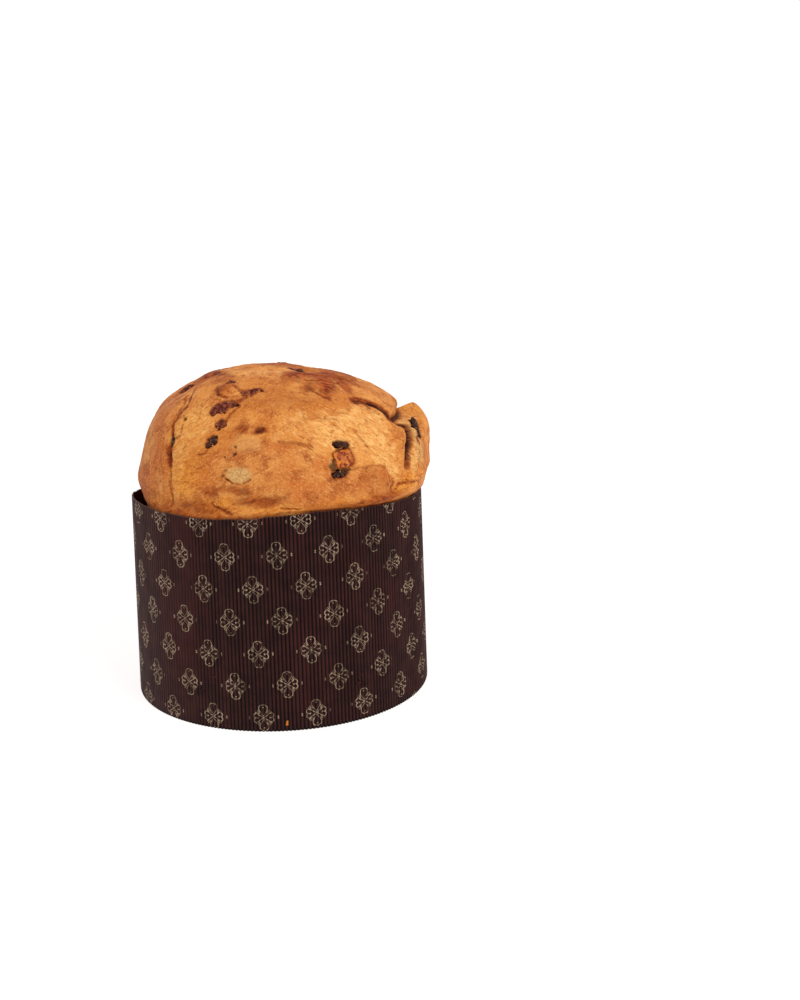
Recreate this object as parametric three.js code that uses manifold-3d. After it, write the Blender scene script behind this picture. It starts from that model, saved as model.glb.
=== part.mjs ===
// Whole panettone in its fluted paper baking case.
// Millimetres, +Z up, origin at the middle of the case's flat base.
// An azimuth is in degrees round +Z: 0 is the front (-Y), 90 is the right side (+X).
// A rise runs over the dome, from 0 at its widest line to 1 at its crown.

import * as THREE from "three";
import { mergeVertices } from "three/addons/utils/BufferGeometryUtils.js";
import Module from "manifold-3d";

const wasm = await Module();
wasm.setup();

// Paper case: middle line of the fluted wall
const CASE_BASE_RADIUS = 84.3;
const CASE_TOP_RADIUS = 82.2;
const CASE_HEIGHT = 117;
const PAPER = 0.6;
const FLUTES = 250;
const FLUTE_DEPTH = 0.35;

// The rim stands higher in front, where the dough lifted it, and dips at both sides
const RIM_WAVES = [
  { azimuth: 15, height: 3.5, spread: 26 },
  { azimuth: 95, height: -4, spread: 30 },
  { azimuth: -112, height: -6, spread: 22 },
];

// Bread: a dome that leans to the left and overhangs the case at the right
const GAP = 0.35;
const DOME_RADIUS = 83;
const DOME_OVERHANG = 6;
const DOME_LEAN = -6;
const DOME_FOOT = 125.7;
const DOME_HEIGHT = 59.3;
const DOME_FULLNESS = 0.9;
const LIP = 2.2;
const FLARE = 0.42;
// Where the dough draws in under its widest line: at the left it has shrunk from the paper too
const TUCKS = [
  { azimuth: -84, spread: 26, flare: 0.3, depth: 6.5, top: 118.5, reach: 5, shrunk: true },
  { azimuth: 86, spread: 28, flare: 0.3, depth: 3.8, top: 130, reach: 6, shrunk: false },
];
// Deep down the bread fills the case again: these are heights
const TUCK_END = [60, 105];
const BOTTOM_ROUNDING = 3;
const NECK_OVER_RIM = 0.5;
const RELIEF_START = 4;
const WAVES = { slow: 0.5, quick: 0.3 };

// Grid of the bread's surface: closer columns where the two long tears run
const COLUMN_STEP = 4.2;
const FINE_COLUMN_STEP = 2.3;
const FINE_COLUMNS = [[-62, -42], [47, 79]];
const DOME_ROWS = 23;
const ROW_CROWDING = 1.1;
// Rows below the dome: millimetres over the rim, then shares of the case's height
const ROWS_AT_RIM = [2.6, NECK_OVER_RIM, -7];
const ROWS_IN_CASE = [0.82, 0.4];

// Tears and folds of the crust: points are [azimuth, rise], sizes in mm
const FOLDS = [
  {
    name: "long tear at the left", depth: 3, width: 3.6,
    points: [[-91, 0.75], [-78, 0.66], [-59, 0.59], [-57, 0.47], [-52, 0.33], [-48, 0.19], [-46, -0.02]],
  },
  {
    name: "deep tear at the right", depth: 3, width: 3,
    points: [[62, 0.36], [64.5, 0.29], [62, 0.23], [59, 0.18], [55, 0.1]],
  },
  {
    name: "deep tear behind the flap", depth: 4.5, width: 3.4,
    points: [[66, 0.36], [76, 0.36], [84, 0.37], [90, 0.4], [98, 0.34], [112, 0.3]],
  },
  {
    name: "seam from the crown to the right tear", depth: 1.4, width: 3,
    points: [[49.5, 0.54], [56.5, 0.51], [61.5, 0.45], [62, 0.36]],
  },
  {
    name: "outer crack of the flap", depth: 1.8, width: 3.2,
    points: [[78, 0.3], [71, 0.22], [67, 0.12], [65, 0.05]],
  },
  {
    name: "fold on the crown", depth: 1.8, width: 3,
    points: [[81, 0.71], [84, 0.66], [95, 0.6], [112, 0.58]],
  },
  {
    name: "pulled fold over the rim", depth: 2, width: 3,
    points: [[45, 0.0], [52, 0.03], [58, 0.035], [66, 0.03]],
  },
  {
    name: "long tear at the back", depth: 3.4, width: 3.6,
    points: [[176, -0.02], [168, 0.13], [171, 0.27], [160, 0.42], [163, 0.56], [186, 0.68]],
  },
  {
    name: "short tear at the back", depth: 2.6, width: 3,
    points: [[-128, 0.08], [-121, 0.2], [-124, 0.33], [-115, 0.44]],
  },
];

// Swellings and hollows of the crust: [azimuth, rise, height, radius], in degrees and mm
const SWELLINGS = [
  [-92, 0.6, -3.2, 16],
  [-119, 0.74, 1.2, 6],
  [-86, 0, 1.3, 5.5],
  [90, 0.985, -2.2, 10],
  [90, 0.912, 1.2, 5],
  [90, 0.82, -1.6, 10],
  [97, 0.87, -2.6, 7],
  [-30, 0.69, 3, 5.5],
  [-14, 0.145, 0.9, 7],
  [-88, 0.25, -1.2, 22],
  [-35, 0.12, 1, 16],
  [12, 0.22, 0.8, 22],
  [38, 0.42, 1, 16],
  [67, 0.2, 1.8, 7],
  [130, 0.3, 1.8, 20],
  [-155, 0.25, 1.6, 22],
  [-105, 0.45, 1.2, 18],
  [178, 0.8, 1.5, 16],
  [145, 0.55, -1.2, 14],
  [-140, 0.6, -1, 16],
  [172, 0.835, -1.8, 11],
  [133, 0.785, -2, 8],
  [150, 0.83, 0.8, 5],
];

// Torn skin at the right that stands off as a pointed flap
const FLAP = { azimuth: 86, spread: 17, low: 0.06, height: 6.6, edge: 0.04 };
// Its top edge: azimuth and rise
const FLAP_TOP = [[52, 0.3], [64, 0.33], [76, 0.33], [84, 0.32], [90, 0.385], [94, 0.35], [100, 0.27]];

// Smooth skin that ends in a raised edge: one panel low at the right, one at the back
const PANELS = [
  { from: 4, to: 44.5, top: 0.15, height: 1.8, ramp: 16 },
  { from: -176, to: -132, top: 0.24, height: 1.6, ramp: 14 },
];
const PANEL_EDGE = 0.03;
const PANEL_END = 3;

// Fruit: azimuth, rise, length, width, height in mm, turn in degrees and depth of its middle
const RAISINS = [
  [-48.5, 0.3, 8, 5.5, 4.6, 80, 0.8],
  [-27, 0.318, 7.2, 4.4, 3.8, 40, 1],
  [-25.5, 0.555, 15, 6.4, 3.2, 28, 1.1],
  [-24, 0.437, 5.6, 4, 3.2, 50, 1],
  [-9.5, 0.684, 12.5, 5.4, 2.8, 17, 1],
  [-34, 0.757, 4.6, 3.6, 3.2, 20, 0.6],
  [-92, 0.8, 6, 4.4, 3.4, 0, 0.8],
  [-96.5, 0.605, 11, 5, 3.6, 80, 0.4],
  [93, 0.885, 10, 5.6, 4.4, 90, -0.2],
  [70.5, 0.265, 14, 5.4, 3.8, 65, 1],
  [27.3, 0.285, 7.6, 2.8, 2.6, -8, 0.9],
  [23, 0.128, 8, 3, 3, 10, 1],
];
const PEELS = [
  [26.3, 0.208, 10.6, 9.6, 7.6, 8, 1.9],
  [128, 0.42, 10.5, 9, 7, 30, 2.4],
  [-167, 0.38, 9.5, 9, 7, 60, 2.2],
];
const BACK_RAISINS = 9;
const BACK_FROM = 112;
const BACK_TO = 248;
const BACK_RISES = [0.14, 0.6, 0.34, 0.72];
const RAISIN_WRINKLE = 0.12;
const PEEL_ROUNDING = 0.28;
const PEEL_WOBBLE = 0.05;
const POCKET_GAP = 0.42;
const SEED = 20261128;

function degrees(angle) {
  return THREE.MathUtils.degToRad(angle);
}

// Smooth step from 0 to 1 as the value goes from 0 to 1
function ease(value) {
  return THREE.MathUtils.smoothstep(value, 0, 1);
}

// Bell curve: 1 in the middle, about a third at one width
function bell(value) {
  return Math.exp(-value * value);
}

// Difference of two azimuths, from -180 to 180
function turnBetween(azimuth, other) {
  return THREE.MathUtils.euclideanModulo(azimuth - other + 180, 360) - 180;
}

// Small repeatable random numbers from 0 to 1
function makeRandom(seed) {
  let state = seed;
  return () => {
    state = (state * 1664525 + 1013904223) % 4294967296;
    return state / 4294967296;
  };
}

function onCircle(azimuth, radius, height) {
  const angle = degrees(azimuth);
  return new THREE.Vector3(radius * Math.sin(angle), -radius * Math.cos(angle), height);
}

// Value at a place on a line of straight pieces, level past its ends
function valueAt(points, place) {
  for (let i = 1; i < points.length; i += 1) {
    if (place < points[i][0]) {
      const [from, first] = points[i - 1];
      const [to, second] = points[i];
      return THREE.MathUtils.mapLinear(Math.max(place, from), from, to, first, second);
    }
  }
  return points.at(-1)[1];
}

function rimHeight(azimuth) {
  let height = CASE_HEIGHT;
  for (const wave of RIM_WAVES) {
    height += wave.height * bell(turnBetween(azimuth, wave.azimuth) / wave.spread);
  }
  return height;
}

function caseRadius(height) {
  return THREE.MathUtils.mapLinear(height, 0, CASE_HEIGHT, CASE_BASE_RADIUS, CASE_TOP_RADIUS);
}

// Radius that the bread fills inside the case
function roomInCase(height) {
  return caseRadius(height) - PAPER / 2 - FLUTE_DEPTH - GAP;
}

// Smooth dome before its relief
function domePoint(azimuth, rise) {
  const angle = Math.max(rise, 0) * Math.PI / 2;
  const widest = DOME_RADIUS + DOME_OVERHANG * Math.sin(degrees(azimuth));
  const radius = widest * Math.cos(angle) ** DOME_FULLNESS;
  const height = DOME_FOOT + DOME_HEIGHT * Math.sin(angle) ** DOME_FULLNESS;
  const point = onCircle(azimuth, radius, height);
  point.x += DOME_LEAN * Math.sin(angle) ** 2;
  return point;
}

function outward(azimuth, rise) {
  const angle = Math.max(rise, 0) * Math.PI / 2;
  return onCircle(azimuth, Math.cos(angle), Math.sin(angle));
}

// Corner points of a fold on the dome, worked out once
for (const fold of FOLDS) {
  fold.line = fold.points.map(([azimuth, rise]) => domePoint(azimuth, rise));
}

function distanceToLine(point, line) {
  const piece = new THREE.Line3();
  const nearest = new THREE.Vector3();
  let distance = Infinity;
  for (let i = 1; i < line.length; i += 1) {
    piece.set(line[i - 1], line[i]);
    piece.closestPointToPoint(point, true, nearest);
    distance = Math.min(distance, nearest.distanceTo(point));
  }
  return distance;
}

function panelHeight(panel, azimuth, rise) {
  const fromStart = turnBetween(azimuth, panel.from) / panel.ramp;
  const toEnd = turnBetween(panel.to, azimuth) / PANEL_END;
  return panel.height * ease(fromStart) * ease(toEnd) * ease((panel.top - rise) / PANEL_EDGE);
}

function flapHeight(azimuth, rise) {
  const side = bell(turnBetween(azimuth, FLAP.azimuth) / FLAP.spread);
  const top = valueAt(FLAP_TOP, azimuth);
  const grow = ease((rise - FLAP.low) / (top - FLAP.low - FLAP.edge));
  return FLAP.height * side * grow * ease((top - rise) / FLAP.edge);
}

// Low waves that keep the dome uneven all round
function waveHeight(azimuth, rise) {
  const angle = degrees(azimuth);
  const slow = WAVES.slow * Math.sin(3 * angle + 7 * rise) * Math.sin(9 * rise + 1);
  const quick = WAVES.quick * Math.sin(7 * angle - 11 * rise) * Math.cos(14 * rise);
  return (slow + quick) * Math.cos(rise * Math.PI / 2);
}

function relief(azimuth, rise) {
  const point = domePoint(azimuth, rise);
  let height = waveHeight(azimuth, rise) + flapHeight(azimuth, rise);
  for (const panel of PANELS) {
    height += panelHeight(panel, azimuth, rise);
  }
  for (const [middle, middleRise, size, radius] of SWELLINGS) {
    height += size * bell(point.distanceTo(domePoint(middle, middleRise)) / radius);
  }
  for (const fold of FOLDS) {
    height -= fold.depth * bell(distanceToLine(point, fold.line) / fold.width);
  }
  return height;
}

// How far the dough draws in at a height; in the case only where it has shrunk
function tuckDepth(azimuth, height, inCase) {
  let depth = 0;
  for (const tuck of TUCKS) {
    if (tuck.shrunk || !inCase) {
      const share = bell(turnBetween(azimuth, tuck.azimuth) / tuck.spread);
      depth += tuck.depth * share * (1 - Math.exp(-Math.max(tuck.top - height, 0) / tuck.reach));
    }
  }
  return depth * THREE.MathUtils.smoothstep(height, ...TUCK_END);
}

function crustPoint(azimuth, rise) {
  const point = domePoint(azimuth, rise);
  const lift = relief(azimuth, rise) - tuckDepth(azimuth, point.z, false);
  return point.addScaledVector(outward(azimuth, rise), lift);
}

// Bread between the case's base and the dome's foot: it fills the case, then rolls over its rim
function sidePoint(azimuth, height) {
  const neck = rimHeight(azimuth) + NECK_OVER_RIM;
  const below = Math.min(height, neck);
  const foot = domePoint(azimuth, 0);
  const footRadius = Math.hypot(foot.x, foot.y);
  let flare = FLARE;
  for (const tuck of TUCKS) {
    flare -= tuck.flare * bell(turnBetween(azimuth, tuck.azimuth) / tuck.spread);
  }
  const filled = Math.min(roomInCase(below), footRadius + flare * (DOME_FOOT - below));
  const held = filled - tuckDepth(azimuth, below, true);
  if (height <= neck) {
    return onCircle(azimuth, held, height);
  }
  const above = height - neck;
  const lift = relief(azimuth, 0) * ease(above / RELIEF_START);
  const free = footRadius - tuckDepth(azimuth, height, false) + lift;
  const radius = free + (held - free) * Math.exp(-above / LIP);
  return onCircle(azimuth, radius, height);
}

// Closed body from a grid of columns round Z and rows from the upper pole to the lower one
function gridGeometry(columns, rows, place) {
  const geometry = new THREE.SphereGeometry(1, columns, rows);
  const position = geometry.getAttribute("position");
  for (let row = 0; row <= rows; row += 1) {
    for (let column = 0; column <= columns; column += 1) {
      const point = place(column % columns, row);
      position.setXYZ(row * (columns + 1) + column, point.x, point.y, point.z);
    }
  }
  return shared(geometry);
}

// The same body with one vertex for each place
function shared(geometry) {
  geometry.deleteAttribute("normal");
  geometry.deleteAttribute("uv");
  const merged = mergeVertices(geometry, 1e-4);
  merged.computeVertexNormals();
  return merged;
}

function toSolid(geometry) {
  const bare = geometry.clone();
  bare.deleteAttribute("normal");
  const mesh = new wasm.Mesh({
    numProp: 3,
    vertProperties: Float32Array.from(bare.getAttribute("position").array),
    triVerts: Uint32Array.from(bare.getIndex().array),
  });
  return new wasm.Manifold(mesh);
}

function toGeometry(solid) {
  const mesh = solid.getMesh();
  const geometry = new THREE.BufferGeometry();
  geometry.setAttribute("position", new THREE.BufferAttribute(mesh.vertProperties, 3));
  geometry.setIndex(new THREE.BufferAttribute(mesh.triVerts, 1));
  geometry.computeVertexNormals();
  return geometry;
}

function breadColumns() {
  const columns = [];
  let azimuth = -180;
  while (azimuth < 180 - COLUMN_STEP / 2) {
    columns.push(azimuth);
    const fine = FINE_COLUMNS.some(([from, to]) => azimuth >= from && azimuth < to);
    azimuth += fine ? FINE_COLUMN_STEP : COLUMN_STEP;
  }
  return columns;
}

function breadGeometry() {
  const columns = breadColumns();
  const floor = PAPER + GAP;
  const rows = [];
  for (let row = 0; row < DOME_ROWS; row += 1) {
    const rise = 1 - (row / DOME_ROWS) ** ROW_CROWDING;
    rows.push((azimuth) => crustPoint(row === 0 ? 0 : azimuth, rise));
  }
  rows.push((azimuth) => sidePoint(azimuth, DOME_FOOT));
  for (const over of ROWS_AT_RIM) {
    rows.push((azimuth) => sidePoint(azimuth, rimHeight(azimuth) + over));
  }
  for (const share of ROWS_IN_CASE) {
    rows.push((azimuth) => sidePoint(azimuth, CASE_HEIGHT * share));
  }
  rows.push((azimuth) => sidePoint(azimuth, floor + BOTTOM_ROUNDING));
  rows.push((azimuth) => onCircle(azimuth, roomInCase(floor) - BOTTOM_ROUNDING, floor));
  rows.push(() => new THREE.Vector3(0, 0, floor));
  return gridGeometry(columns.length, rows.length - 1, (column, row) => rows[row](columns[column]));
}

function caseGeometry() {
  const columns = FLUTES * 2;
  const azimuthOf = (column) => column * 360 / columns;
  const flute = (column) => (column % 2 === 0 ? FLUTE_DEPTH : -FLUTE_DEPTH);
  const wall = (side) => (column, height) => {
    const radius = caseRadius(height) + flute(column) + side * PAPER / 2;
    return onCircle(azimuthOf(column), radius, height);
  };
  const inner = wall(-1);
  const outer = wall(1);
  const rows = [
    () => new THREE.Vector3(0, 0, PAPER),
    (column) => inner(column, PAPER),
    (column) => inner(column, rimHeight(azimuthOf(column))),
    (column) => outer(column, rimHeight(azimuthOf(column))),
    (column) => outer(column, 0),
    () => new THREE.Vector3(0, 0, 0),
  ];
  return gridGeometry(columns, rows.length - 1, (column, row) => rows[row](column));
}

// Wrinkled raisin, its middle at the origin
function raisinGeometry(random) {
  const geometry = shared(new THREE.SphereGeometry(0.5, 7, 5));
  const position = geometry.getAttribute("position");
  const point = new THREE.Vector3();
  for (let i = 0; i < position.count; i += 1) {
    point.fromBufferAttribute(position, i);
    point.multiplyScalar(1 + RAISIN_WRINKLE * (2 * random() - 1));
    position.setXYZ(i, point.x, point.y, point.z);
  }
  return geometry;
}

// Diced candied peel: a cube with soft, uneven corners
function peelGeometry(random) {
  const geometry = shared(new THREE.BoxGeometry(1, 1, 1, 3, 3, 3));
  const position = geometry.getAttribute("position");
  const point = new THREE.Vector3();
  for (let i = 0; i < position.count; i += 1) {
    point.fromBufferAttribute(position, i);
    const corner = point.length() - 0.5;
    point.multiplyScalar(1 - PEEL_ROUNDING * corner + PEEL_WOBBLE * (random() - 0.5));
    position.setXYZ(i, point.x, point.y, point.z);
  }
  return geometry;
}

// Fruit set into the crust, its length turned from level, its height along the crust's outward line
function fruitMesh(name, geometry, material, [azimuth, rise, length, width, height, turn, depth]) {
  const out = outward(azimuth, rise);
  const level = onCircle(azimuth + 90, 1, 0);
  const up = out.clone().cross(level);
  const mesh = new THREE.Mesh(geometry, material);
  mesh.name = name;
  mesh.position.copy(crustPoint(azimuth, rise)).addScaledVector(out, -depth);
  mesh.quaternion.setFromRotationMatrix(new THREE.Matrix4().makeBasis(level, up, out));
  mesh.rotateZ(degrees(turn));
  mesh.scale.set(length, width, height);
  mesh.updateMatrixWorld();
  return mesh;
}

// Hollow that the fruit lies in, wider than it by the gap all round
function pocket(fruit) {
  const roomy = fruit.clone();
  const size = fruit.scale;
  roomy.scale.set(size.x + 2 * POCKET_GAP, size.y + 2 * POCKET_GAP, size.z + 2 * POCKET_GAP);
  roomy.updateMatrixWorld();
  return toSolid(fruit.geometry.clone().applyMatrix4(roomy.matrixWorld));
}

function backRaisins(random) {
  const places = [];
  for (let i = 0; i < BACK_RAISINS; i += 1) {
    const azimuth = BACK_FROM + (BACK_TO - BACK_FROM) * (i + 0.2 + 0.6 * random()) / BACK_RAISINS;
    const rise = BACK_RISES[i % BACK_RISES.length] + 0.1 * (random() - 0.5);
    const length = 6 + 6 * random();
    places.push([azimuth, rise, length, 5 + random(), 3.6 + random(), 180 * random(), 1.1]);
  }
  return places;
}

const crustBrown = new THREE.MeshStandardMaterial({ color: "#cf8342", roughness: 0.72, metalness: 0 });
const darkPaper = new THREE.MeshStandardMaterial({ color: "#3a231f", roughness: 0.62, metalness: 0 });
const raisinDark = new THREE.MeshStandardMaterial({ color: "#43221a", roughness: 0.55, metalness: 0 });
const peelOrange = new THREE.MeshStandardMaterial({ color: "#a74c1f", roughness: 0.35, metalness: 0 });

const random = makeRandom(SEED);
const twoDigits = (index) => String(index + 1).padStart(2, "0");
const fruit = [...RAISINS, ...backRaisins(random)].map((place, index) =>
  fruitMesh(`raisin_${twoDigits(index)}`, raisinGeometry(random), raisinDark, place));
PEELS.forEach((place, index) => {
  fruit.push(fruitMesh(`candied_peel_${twoDigits(index)}`, peelGeometry(random), peelOrange, place));
});

let loaf = toSolid(breadGeometry());
for (const piece of fruit) {
  loaf = loaf.subtract(pocket(piece));
}
// A thin flake that is cut loose over a raisin is left out
loaf = loaf.decompose().sort((one, other) => other.volume() - one.volume())[0];
const bread = new THREE.Mesh(toGeometry(loaf), crustBrown);
bread.name = "bread";

const paperCase = new THREE.Mesh(caseGeometry(), darkPaper);
paperCase.name = "paper_case";

const panettone = new THREE.Group();
panettone.name = "panettone";
panettone.add(paperCase, bread, ...fruit);

export default panettone;
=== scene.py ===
"""Whole panettone in its fluted paper case: its crust, fruit and printed paper, for Blender 4.5.

Metres, +Z up, -Y is the front. Shapes are worked out in millimetres and scaled once.
An azimuth is in degrees round +Z: 0 is the front, 90 is the right side (+X).
A rise runs over the dome, from 0 at its widest line to 1 at its crown.
"""
import math

import bmesh
import bpy
import numpy as np
from mathutils import Matrix, Vector, noise
from mathutils.bvhtree import BVHTree


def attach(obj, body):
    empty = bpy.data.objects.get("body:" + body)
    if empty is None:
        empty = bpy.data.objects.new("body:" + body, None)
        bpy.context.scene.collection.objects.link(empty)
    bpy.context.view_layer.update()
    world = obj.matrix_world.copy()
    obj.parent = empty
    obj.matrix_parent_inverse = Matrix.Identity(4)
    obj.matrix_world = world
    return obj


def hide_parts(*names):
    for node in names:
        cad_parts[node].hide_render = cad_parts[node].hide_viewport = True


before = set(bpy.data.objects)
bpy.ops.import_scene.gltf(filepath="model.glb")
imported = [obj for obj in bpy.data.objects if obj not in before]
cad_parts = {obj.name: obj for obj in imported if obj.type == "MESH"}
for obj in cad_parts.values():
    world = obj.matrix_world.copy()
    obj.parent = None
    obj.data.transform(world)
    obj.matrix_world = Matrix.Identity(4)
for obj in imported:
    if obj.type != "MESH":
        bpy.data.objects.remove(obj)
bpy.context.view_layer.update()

MM = 0.001

# Paper case, in mm: middle line of the fluted wall
CASE_BASE_RADIUS = 84.3
CASE_TOP_RADIUS = 82.2
CASE_HEIGHT = 117.0
PAPER = 0.6
FLUTES = 250
FLUTE_DEPTH = 0.35
# Where the rim stands higher or lower: azimuth, height and spread
RIM_WAVES = [(15, 3.5, 26), (95, -4.0, 30), (-112, -6.0, 22)]

# Bread, in mm
GAP = 0.35
DOME_RADIUS = 83.0
DOME_OVERHANG = 6.0
DOME_LEAN = -6.0
DOME_FOOT = 125.7
DOME_HEIGHT = 59.3
DOME_FULLNESS = 0.9
LIP = 2.2
FLARE = 0.42
BOTTOM_ROUNDING = 3.0
# Where the dough draws in under its widest line; "held" goes on inside the case, where it has shrunk
TUCKS = [
    {"azimuth": -84, "spread": 26, "flare": 0.3, "depth": 6.5, "top": 118.5, "reach": 5, "held": True},
    {"azimuth": 86, "spread": 28, "flare": 0.3, "depth": 3.8, "top": 130, "reach": 6, "held": False},
]
# Heights between which a tuck fades out again towards the base
TUCK_END = (60.0, 105.0)
# The dough comes free of the case at this neck over its rim. Its relief grows over a few mm from there up, and
# the closely set rows of the lip end a little under it
NECK = 0.5
RELIEF_START = 4.0
LIP_DROP = 6.0

# Tears and folds: depth and width in mm, then [azimuth, rise] points
LEFT_TEAR = [(-91, 0.75), (-78, 0.66), (-59, 0.59), (-57, 0.47), (-52, 0.33), (-48, 0.19), (-46, -0.02)]
RIGHT_TEAR = [(62, 0.36), (64.5, 0.29), (62, 0.23), (59, 0.18), (55, 0.1)]
BACK_TEAR = [(176, -0.02), (168, 0.13), (171, 0.27), (160, 0.42), (163, 0.56), (186, 0.68)]
SHORT_TEAR = [(-128, 0.08), (-121, 0.2), (-124, 0.33), (-115, 0.44)]
BEHIND_FLAP = [(66, 0.36), (76, 0.36), (84, 0.37), (90, 0.4), (98, 0.34), (112, 0.3)]
FOLDS = [
    (0.9, 3.0, LEFT_TEAR), (0.4, 0.9, LEFT_TEAR), (1.4, 2.4, RIGHT_TEAR), (1.8, 0.9, RIGHT_TEAR),
    (4.5, 3.2, BEHIND_FLAP), (0.6, 2.2, [(49.5, 0.54), (56.5, 0.51), (61.5, 0.45), (62, 0.36)]),
    (1.4, 1.6, [(78, 0.3), (71, 0.22), (67, 0.12), (65, 0.05)]),
    (1.8, 3.0, [(81, 0.71), (84, 0.66), (95, 0.6), (112, 0.58)]),
    (2.0, 2.0, [(45, 0.0), (52, 0.03), (58, 0.035), (66, 0.03)]),
    (2.2, 3.2, BACK_TEAR), (1.4, 1.0, BACK_TEAR), (1.6, 2.8, SHORT_TEAR), (1.2, 1.0, SHORT_TEAR),
    (0.8, 1.0, [(-25.5, -0.005), (-21.5, -0.033), (-17, -0.06)]),
    (0.9, 1.0, [(-3, -0.06), (7, -0.047), (18, -0.042), (27, -0.03), (36, -0.035)]),
    (0.7, 0.9, [(1, -0.023), (9, -0.028), (15.5, -0.045)]),
    (0.7, 1.2, [(3, 0.333), (9, 0.32), (14.5, 0.292)]),
]

# Swellings and hollows: azimuth, rise, height and radius in mm
SWELLINGS = [
    (-92, 0.6, -3.2, 16), (-119, 0.74, 1.2, 6), (-86, 0.0, 1.3, 5.5),
    (90, 0.985, -2.2, 10), (90, 0.912, 1.2, 5), (90, 0.82, -1.6, 10),
    (97, 0.87, -2.6, 7), (-30, 0.69, 3, 5.5), (-14, 0.145, 0.9, 7), (-88, 0.25, -1.2, 22),
    (-35, 0.12, 1, 16), (12, 0.22, 0.8, 22), (38, 0.42, 1, 16), (67, 0.2, 1.8, 7),
    (130, 0.3, 1.8, 20), (-155, 0.25, 1.6, 22), (-105, 0.45, 1.2, 18), (178, 0.8, 1.5, 16),
    (145, 0.55, -1.2, 14), (-140, 0.6, -1, 16), (172, 0.835, -1.8, 11), (133, 0.785, -2, 8),
    (150, 0.83, 0.8, 5),
]
FLAP = {"azimuth": 86, "spread": 17, "low": 0.06, "height": 6.6, "edge": 0.025}
# Its top edge: azimuth and rise
FLAP_TOP = [(52, 0.3), (64, 0.33), (76, 0.33), (84, 0.31), (90, 0.385), (94, 0.35), (100, 0.27)]
PANELS = [(4, 44.5, 0.15, 1.8, 16), (-176, -132, 0.24, 1.6, 14)]
PANEL_EDGE = 0.03
PANEL_END = 3.0

# Zones of the crust: azimuth, rise, half length and half width in mm, turn in degrees, strength
TORN_ZONES = [
    (31, 0.36, 24, 14, 0, 0.9), (45, 0.25, 10, 15, 0, 1.0), (50, 0.42, 12, 8, -30, 0.8),
    (14, 0.42, 18, 8, 10, 0.5), (-43, 0.16, 6, 12, 0, 0.7), (-39, 0.44, 12, 18, 0, 0.8),
    (61, 0.12, 5, 14, 0, 1.0), (66, 0.22, 6, 16, 0, 1.0), (72, 0.34, 7, 5, 0, 0.6), (47, 0.1, 4, 9, 20, 1.0),
    (-60, 0.5, 5, 12, 0, 0.6), (5, 0.9, 16, 8, 0, 0.5), (150, 0.5, 22, 16, 20, 0.9),
    (172, 0.3, 12, 26, 0, 0.9), (-120, 0.35, 12, 20, 0, 0.8), (-165, 0.72, 22, 12, 0, 0.6),
    (112, 0.25, 12, 18, 0, 0.7), (-90, 0.88, 20, 10, 0, 0.5),
]
BROWN_ZONES = [
    (54, 0.83, 16, 8, 0, 1.0), (66, 0.77, 13, 7, 20, 1.0), (34, 0.7, 8, 4, 50, 0.8), (50, 0.7, 15, 6, 40, 1.0),
    (76, 0.7, 12, 5, 0, 1.0), (84, 0.75, 12, 8, 0, 1.0), (64, 0.66, 12, 4, 40, 1.0), (40, 0.62, 7, 3, 50, 0.9),
    (57, 0.85, 14, 7, 0, 1.0), (80, 0.7, 14, 5, 60, 1.0), (-118, 0.75, 15, 5, 0, 1.0),
    (-98, 0.77, 14, 6, 0, 1.0), (-80, 0.82, 10, 5, 0, 0.8), (145, 0.8, 18, 6, 0, 1.0),
    # The low bands in front, from (-24, 0.062) to (38, -0.03), are partly browning and partly painted shade
    # under the folds over the rim
    (120, 0.7, 12, 5, 0, 1.0), (-24, 0.062, 7, 2.4, 0, 0.7),
    (-15, 0.068, 8, 2.6, 0, 0.75), (-6, 0.018, 12, 3.2, 0, 0.9), (-44, -0.075, 14, 2.4, 0, 0.9),
    (-33, -0.035, 18, 3.4, 0, 0.75), (38, -0.03, 22, 3.0, 0, 0.8), (-13.5, 0.41, 4.5, 4, 0, 0.75),
    (-5, 0.403, 3.4, 2.4, 0, 1.0), (10, 0.62, 22, 9, 0, 0.3), (-32, 0.69, 6.5, 6, 0, 0.7),
    (-60, 0.8, 16, 5, 0, 0.6), (-88, 0.7, 10, 5, 0, 0.5), (-70, -0.03, 16, 5, 0, 0.5),
    (36, 0.06, 12, 7, 0, 0.3), (100, 0.7, 20, 12, 0, 0.8), (150, 0.85, 20, 12, 0, 0.8),
    (-110, 0.75, 16, 9, 0, 0.7), (-150, 0.1, 26, 9, 0, 0.5), (140, 0.06, 26, 8, 0, 0.5),
    (-160, 0.55, 16, 10, 0, 0.6), (170, 0.0, 30, 4, 0, 0.7), (-120, -0.01, 22, 4, 0, 0.6),
]
PALE_ZONES = [
    (-14, 0.145, 6.8, 4.0, 0, 1.0), (-11, 0.325, 8, 5, 0, 0.25), (26.5, 0.305, 4, 2, 0, 0.6),
    (21, 0.19, 1.5, 3, 0, 0.5), (67, 0.2, 5, 13, 0, 0.7),
]
# Orange skin where the dough was stretched wet: the fold over the rim, low in front and beside the left seam
AMBER_ZONES = [
    (55, 0.015, 10, 5.5, 0, 1.0), (49, 0.0, 5, 4, 0, 0.9), (-38, 0.1, 12, 12, 0, 0.7),
    (-22, -0.02, 14, 5, 0, 0.7), (0, -0.03, 18, 3, 0, 0.6), (27, -0.02, 16, 4, 0, 0.5),
    (-60, -0.03, 14, 5, 0, 0.6), (-42, 0.4, 12, 14, 0, 0.35), (68, 0.3, 5, 5, 0, 0.4),
    (140, 0.0, 24, 5, 0, 0.6), (-150, 0.0, 24, 5, 0, 0.6),
]
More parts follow.
